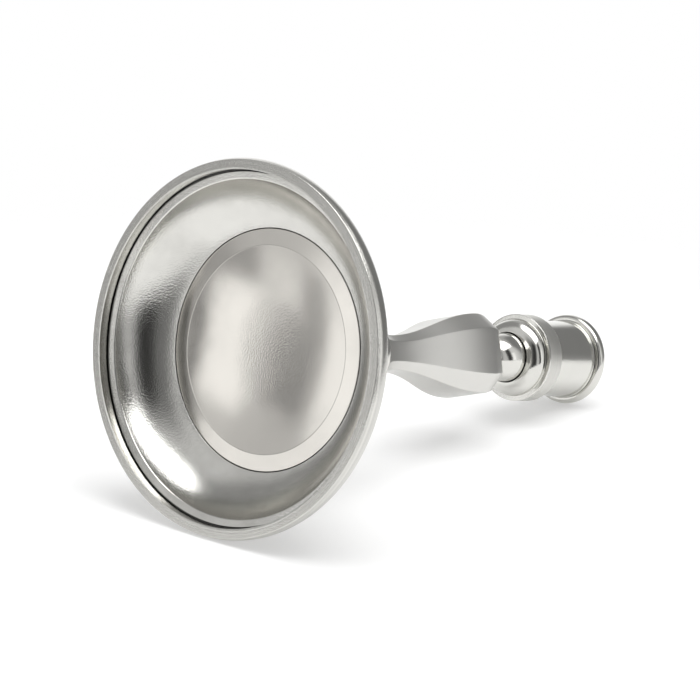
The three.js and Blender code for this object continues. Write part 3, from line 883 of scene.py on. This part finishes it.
@dataclass
class Socket:
    """The ball, the cup and the candle socket at the top."""

    ball_height: float = 10.7
    ball_radius: float = 8.35
    ball_neck_radius: float = 4.8
    ball_neck_height: float = 1.4
    crease_width: float = 0.3
    crease_depth: float = 0.6
    cup_height: float = 5.8
    cup_step: float = 1.7
    cup_neck: float = 0.8
    cup_lip: float = 0.8
    cup_foot_pull: float = 1.2
    cup_side_pull: float = 3.2
    cup_side_lean: float = 0.5
    tube_radius: float = 12.5
    collar_step: float = 2.4
    collar_height: float = 6.5
    collar_barrel: float = 0.35
    collar_pulls: Pair = (0.3, 0.6)
    tube_fillet: float = 1.2
    tube_flare: float = 0.95
    ring_step: float = 0.28
    ring_height: float = 0.6
    ring_gap: float = 0.35
    bead_step: float = 3.1
    bead_shelf: float = 1.7
    bead_top: float = 1.9
    bead_height: float = 3.9
    bead_pull: float = 0.9
    bead_widest: float = 0.44
    candle_radius: float = 11.2
    candle_depth: float = 24.5
    mouth_chamfer: float = 0.8
    rod_grip: float = 5.6
    height: float = 32.0
    steps: int = 192

    @property
    def collar_radius(self) -> float:
        """Radius of the collar band and of the cup's lip."""
        return self.tube_radius + self.collar_step

    def ball(self) -> Surface:
        """The ball: a short neck, then an elliptical side, widest at the crease.

        Returns:
            The surface.
        """
        angle = math.acos(self.ball_neck_radius / self.ball_radius)
        depth = (self.ball_height - self.ball_neck_height) / math.sin(angle)
        return (
            Outline((ROD_BORE, 0))
            .line((self.ball_neck_radius, 0), Ease.CRISP)
            .line((self.ball_neck_radius, self.ball_neck_height), Ease.ROUND)
            .arc((0, self.ball_height), (self.ball_radius, depth), -math.degrees(angle), 0, Ease.SOFT,
                 spacing=0.3)
            .bored(self.ball_height, 0)
            .turned(self.steps)
        )

    def cup(self) -> Surface:
        """The cup: a fine groove round the ball, a full round, and a lip that steps out to the collar.

        Returns:
            The surface.
        """
        lip = self.cup_height - self.cup_lip
        crease = self.ball_radius + self.crease_width
        widest, round_top = self.collar_radius - self.cup_step, lip - self.cup_neck
        return (
            Outline((ROD_BORE, 0))
            .line((self.ball_radius, 0), Ease.KEEN, Matt.GROOVE)
            .line((self.ball_radius, self.crease_depth), Ease.FINE, Matt.GROOVE)
            .line((crease, self.crease_depth), Ease.FINE, Matt.GROOVE)
            .line((crease, 0), Ease.CLEAN, Matt.GROOVE)
            .curve((crease + self.cup_foot_pull, 0),
                   (widest - self.cup_side_lean, round_top - self.cup_side_pull),
                   (widest, round_top), spacing=0.25)
            .line((widest, lip), Ease.SLIGHT)
            .line((self.collar_radius, lip), Ease.SOFT)
            .line((self.collar_radius, self.cup_height), Ease.CRISP)
            .bored(self.cup_height, 0)
            .turned(self.steps)
        )

    def tube(self) -> Surface:
        """The socket: collar band, tube, a thin ring under the beaded rim, and the candle bore.

        Returns:
            The surface.
        """
        top, collar, collar_top = self.height, self.collar_radius, self.collar_height
        low, high = ((collar, collar_top * pull) for pull in self.collar_pulls)
        fillet, mouth = self.tube_radius + self.tube_fillet, self.tube_radius + self.tube_flare
        bead_foot, widest = top - self.bead_height, top - self.bead_height * self.bead_widest
        ring = bead_foot - self.ring_gap - self.ring_height / 2
        half_ring = (self.ring_step, self.ring_height / 2)
        shelf, bead = self.tube_radius + self.bead_shelf, self.tube_radius + self.bead_step
        seat = top - self.candle_depth
        return (
            Outline((0, self.rod_grip))
            .bored(self.rod_grip, 0)
            .line((collar - self.collar_barrel, 0), Ease.CRISP)
            .curve(low, high, (collar, collar_top), Ease.SOFT, Matt.BRUSHED)
            .line((fillet, collar_top), Ease.CRISP)
            .arc((fillet, collar_top + self.tube_fillet), self.tube_fillet, -90, -180, spacing=0.2)
            .line((mouth, ring - half_ring[1]), Ease.KEEN)
            .arc((mouth, ring), half_ring, -90, 90, Ease.KEEN, spacing=0.12)
            .line((mouth, bead_foot), Ease.KEEN, Matt.GROOVE)
            .line((shelf, bead_foot))
            .curve((shelf + self.bead_pull, bead_foot), (bead, bead_foot + self.bead_pull), (bead, widest),
                   spacing=0.2)
            .arc((self.tube_radius + self.bead_top, widest), (self.bead_step - self.bead_top, top - widest),
                 0, 90, Ease.CLEAN, spacing=0.2)
            .line((self.candle_radius + self.mouth_chamfer, top), Ease.SLIGHT)
            .line((self.candle_radius, top - self.mouth_chamfer), Ease.SOFT)
            .line((self.candle_radius, seat), Ease.ROUND, Matt.BORED)
            .line((0, seat), matt=Matt.FACED)
            .turned(self.steps, closed=False)
        )

    def build(self) -> None:
        """Makes and dresses the three pieces, the socket on the foot of its CAD node."""
        tube_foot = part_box("candle_socket")[0].z / MM
        cup_foot = tube_foot - self.cup_height
        for name, node, shape, foot in (("ball", "ball_knop", self.ball, cup_foot - self.ball_height),
                                        ("cup", "cup_knop", self.cup, cup_foot),
                                        ("socket", "candle_socket", self.tube, tube_foot)):
            dress(shape().build(name, foot), node, POLISHED)


@dataclass
class Hardware:
    """The rod, washer and nut inside, which keep their CAD shapes."""

    nodes: tuple[str, ...] = ("tie_rod", "rod_washer", "rod_nut")

    def build(self) -> None:
        """Gives the CAD pieces their finish."""
        for name in self.nodes:
            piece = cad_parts[name]
            piece.data.materials.clear()
            piece.data.materials.append(STEEL.material)
            log.info("%s keeps its CAD shape", name)


# Camera, floor and light


@dataclass(frozen=True)
class Room:
    """How the candlestick lies before the camera, and the room round it.

    Camera measures run right, down and away.

    Attributes:
        yaw: Heading of the stem from the line of sight, to the right.
        dip: How far the stem runs down across the picture.
        turn: How far a wide face of the stem is turned up from the camera.
        pitch: How far the camera looks down.
        centre: Centre of the foot ring.
        focal: Focal length in pixels of the picture.
    """

    yaw: float = 39.28
    dip: float = 1.12
    turn: float = 8.5
    pitch: float = 16.4
    centre: Triple = (-36.8, -0.35, 914.8)
    focal: float = 3000.0

    PICTURE = 700
    SENSOR = 36.0
    CLIP = (0.01, 20.0)

    @property
    def to_part(self) -> np.ndarray:
        """Rotation from camera measures to the part's frame.

        Returns:
            The matrix.
        """
        yaw, dip, turn = (math.radians(angle) for angle in (self.yaw, self.dip, self.turn))
        stem = np.array([math.sin(yaw) * math.cos(dip), math.sin(dip), math.cos(yaw) * math.cos(dip)])
        front = np.array([0.0, 0.0, -1.0]) + stem[2] * stem
        front /= np.linalg.norm(front)
        face = math.cos(turn) * front + math.sin(turn) * np.cross(front, stem)
        return np.stack([face, np.cross(stem, face), stem])

    @property
    def up(self) -> np.ndarray:
        """The room's vertical in the part's frame."""
        pitch = math.radians(self.pitch)
        return self.to_part @ np.array([0.0, -math.cos(pitch), -math.sin(pitch)])

    def direction(self, heading: float, elevation: float) -> np.ndarray:
        """A direction in the room, in the part's frame.

        Args:
            heading: Angle from straight ahead of the camera, to the right.
            elevation: Angle above the horizon.

        Returns:
            The unit vector.
        """
        up = self.up
        ahead = self.to_part @ np.array([0.0, 0.0, 1.0])
        ahead -= up * (ahead @ up)
        ahead /= np.linalg.norm(ahead)
        right = np.cross(ahead, up)
        heading, elevation = math.radians(heading), math.radians(elevation)
        level = ahead * math.cos(heading) + right * math.sin(heading)
        return level * math.cos(elevation) + up * math.sin(elevation)

    def camera(self) -> None:
        """Makes the camera and gives it to the scene."""
        data = bpy.data.cameras.new("camera")
        data.sensor_width = self.SENSOR
        data.lens = self.focal / self.PICTURE * self.SENSOR
        data.clip_start, data.clip_end = self.CLIP
        camera = placed("camera", data)
        turn = self.to_part
        axes = np.stack([turn[:, 0], -turn[:, 1], -turn[:, 2]], axis=1)
        place = Matrix(axes.tolist()).to_4x4()
        place.translation = Vector((turn @ -np.array(self.centre) * MM).tolist())
        camera.matrix_world = place
        bpy.context.scene.camera = camera


@dataclass
class Floor:
    """The pale floor, which touches the base's rim and the socket's bead.

    Attributes:
        rim: Radius and height of the rim's widest circle.
        bead: Radius and height of the bead's widest circle.
        datum: Height up the stem from which its middle is measured.
        shift: Heading and distance of its middle from there.
        inner: Radius at which it starts to fade.
        outer: Radius at which it has faded.
        colour: Its diffuse colour.
        glow: What is added where the camera or the metal sees it, to bring it to white.
    """

    rim: Pair = (58.6, 2.75)
    bead: Pair = (15.6, 178.2)
    datum: float = 90.0
    shift: Pair = (-130.0, 110.0)
    inner: float = 230.0
    outer: float = 420.0
    colour: Triple = (0.72, 0.72, 0.72)
    glow: float = 0.36

    def build(self, room: Room) -> None:
        """Makes the floor, one square on the plane that touches both circles.

        Args:
            room: The room it lies in.
        """
        level = room.up[:2] / np.hypot(*room.up[:2])
        slope = math.atan2(self.rim[0] - self.bead[0], self.bead[1] - self.rim[1])
        normal = np.array([*(level * math.cos(slope)), -math.sin(slope)])
        contact = np.array([*(-level * self.rim[0]), self.rim[1]])
        middle = np.array([0.0, 0.0, self.datum]) + self.shift[1] * room.direction(self.shift[0], 0)
        middle -= normal * ((middle - contact) @ normal)
        side = np.cross(normal, [0.0, 0.0, 1.0])
        side /= np.linalg.norm(side)
        across = np.cross(normal, side)
        corners = [(middle + self.outer * (a * side + b * across)) * MM
                   for a, b in ((1, 1), (-1, 1), (-1, -1), (1, -1))]
        mesh = bpy.data.meshes.new("floor")
        mesh.from_pydata([corner.tolist() for corner in corners], [], [(0, 1, 2, 3)])
        floor = placed("floor", mesh)
        mesh.materials.append(self.material(middle))

    def material(self, middle: np.ndarray) -> Material:
        """White ground that keeps the shadow, fades out at its rim and can't be seen from below.

        Args:
            middle: Its middle, in millimetres.

        Returns:
            The material.
        """
        material = bpy.data.materials.new("pale_floor")
        nodes = Nodes(material)
        ground = nodes.node("ShaderNodeBsdfDiffuse", sockets={"Color": (*self.colour, 1)})
        camera, glossy, through = (nodes.node("ShaderNodeLightPath", output=name) for name in (
            "Is Camera Ray", "Is Glossy Ray", "Is Transmission Ray"))
        seen = camera.most(glossy).most(through)
        glow = nodes.node("ShaderNodeEmission",
                          sockets={"Color": (1, 1, 1, 1), "Strength": seen * self.glow})
        white = nodes.node("ShaderNodeAddShader", sockets={0: ground, 1: glow})
        place = nodes.node("ShaderNodeTexCoord", output="Object")
        distance = nodes.node("ShaderNodeVectorMath", {"operation": "DISTANCE"},
                              {0: place, 1: tuple((middle * MM).tolist())}, "Value")
        behind = nodes.node("ShaderNodeNewGeometry", output="Backfacing")
        gone = distance.smooth(self.inner * MM, self.outer * MM).most(behind)
        clear = nodes.node("ShaderNodeBsdfTransparent")
        nodes.finish("ShaderNodeOutputMaterial", nodes.mixed(gone, white, clear))
        return material


@dataclass(frozen=True)
class Panel:
    """A soft-edged light or dark panel in the room, seen by the metal.

    Attributes:
        name: What it stands for.
        heading: Of its middle, from straight ahead of the camera to the right.
        elevation: Of its middle.
        width: Half its width.
        height: Half its height.
        soft: Width of its soft edge.
        level: Its brightness.
    """

    name: str
    heading: float
    elevation: float
    width: float
    height: float
    soft: float
    level: float


@dataclass
class Studio:
    """Soft studio light: a pale room with large panels, each covering those before it."""

    room: Room
    ground: float = 0.5
    panels: tuple[Panel, ...] = (
        Panel("pale wall on the left", -128, 20, 34, 48, 20, 0.72),
        Panel("dim corner on the far left", -52, 18, 24, 52, 18, 0.33),
        Panel("shade round the card", -114, 0, 11, 12, 4, 0.38),
        Panel("shade left of the card", -120.5, 10, 5.5, 16, 3, 0.15),
        Panel("strip left of the shade", -124.5, 5, 3, 13, 2, 1.5),
        Panel("card on the left", -108.3, 6, 7.3, 10, 3, 1.25),
        Panel("second card on the left", -78.5, 2, 6, 12, 4, 1.2),
        Panel("foot of the second card", -84, -11, 6, 6, 5, 1.0),
        Panel("sill under the gap", -97.5, -5, 5.5, 4.6, 2.5, 0.92),
        Panel("gap between the cards", -95.3, 5.2, 6.7, 5.6, 3, 0.22),
        Panel("wall above the gap", -91, 23, 12, 10.5, 4, 0.64),
        Panel("foot of the gap", -89, -4, 3, 5, 4, 0.4),
        Panel("bright sweep ahead", -4, 0, 22, 30, 20, 1.15),
        Panel("dim wall on the right", 54, 20, 31, 40, 16, 0.24),
        Panel("paler wall on the right", 110, 15, 15, 36, 24, 0.8),
        Panel("card on the right", 118, 8, 9, 18, 8, 1.2),
        Panel("wall behind on the right", 146, 25, 16, 38, 16, 0.62),
        Panel("doorway behind on the right", 131, 16, 8.5, 32, 5, 0.05),
        Panel("shade beside the camera", -158, 8, 22, 44, 28, 0.20),
        Panel("dark room behind the camera", 178, 8, 16, 42, 16, 0.045),
        Panel("softbox overhead", 120, 79, 18, 27, 9, 4.3),
    )

    def build(self) -> None:
        """Makes the world: the metal sees the panels, and the camera sees plain white."""
        world = bpy.data.worlds.new("studio")
        bpy.context.scene.world = world
        nodes = Nodes(world)
        ray = nodes.node("ShaderNodeTexCoord", output="Generated")
        level: Value = self.ground
        for panel in self.panels:
            mask = self.mask(nodes, ray, panel)
            level = level + mask * (panel.level - level)
        room = nodes.node("ShaderNodeBackground",
                          sockets={"Color": nodes.join(level, level, level), "Strength": 1.0})
        white = nodes.node("ShaderNodeBackground", sockets={"Color": (1, 1, 1, 1), "Strength": 1.0})
        camera = nodes.node("ShaderNodeLightPath", output="Is Camera Ray")
        nodes.finish("ShaderNodeOutputWorld", nodes.mixed(camera, room, white))

    def mask(self, nodes: Nodes, ray: Signal, panel: Panel) -> Signal:
        """How much of a panel covers a direction: the product of two soft steps across its width and height.

        Args:
            nodes: The world's tree.
            ray: The direction.
            panel: The panel.

        Returns:
            A value from 0 to 1.
        """
        middle = self.room.direction(panel.heading, panel.elevation)
        right = self.room.direction(panel.heading + 90, 0)
        above = np.cross(right, middle)
        facing = nodes.dot(ray, middle)
        sides = []
        for axis, size in ((right, panel.width), (above, panel.height)):
            away = nodes.math("ABSOLUTE", nodes.math("ARCTAN2", nodes.dot(ray, axis), facing))
            inner, outer = math.radians(size - panel.soft / 2), math.radians(size + panel.soft / 2)
            sides.append(1 - away.smooth(inner, outer))
        both = sides[0] * sides[1]
        both.socket.node.label = panel.name
        return both


def main() -> None:
    """Builds the candlestick, its floor, light and camera."""
    logging.basicConfig(level=logging.INFO, format="%(message)s")
    room = Room()
    room.camera()
    for assembly in (Base(), Stem(), Socket(), Hardware()):
        assembly.build()
    Floor().build(room)
    Studio(room).build()
    bpy.context.scene.view_settings.view_transform = "Standard"


if __name__ == "__main__":
    main()
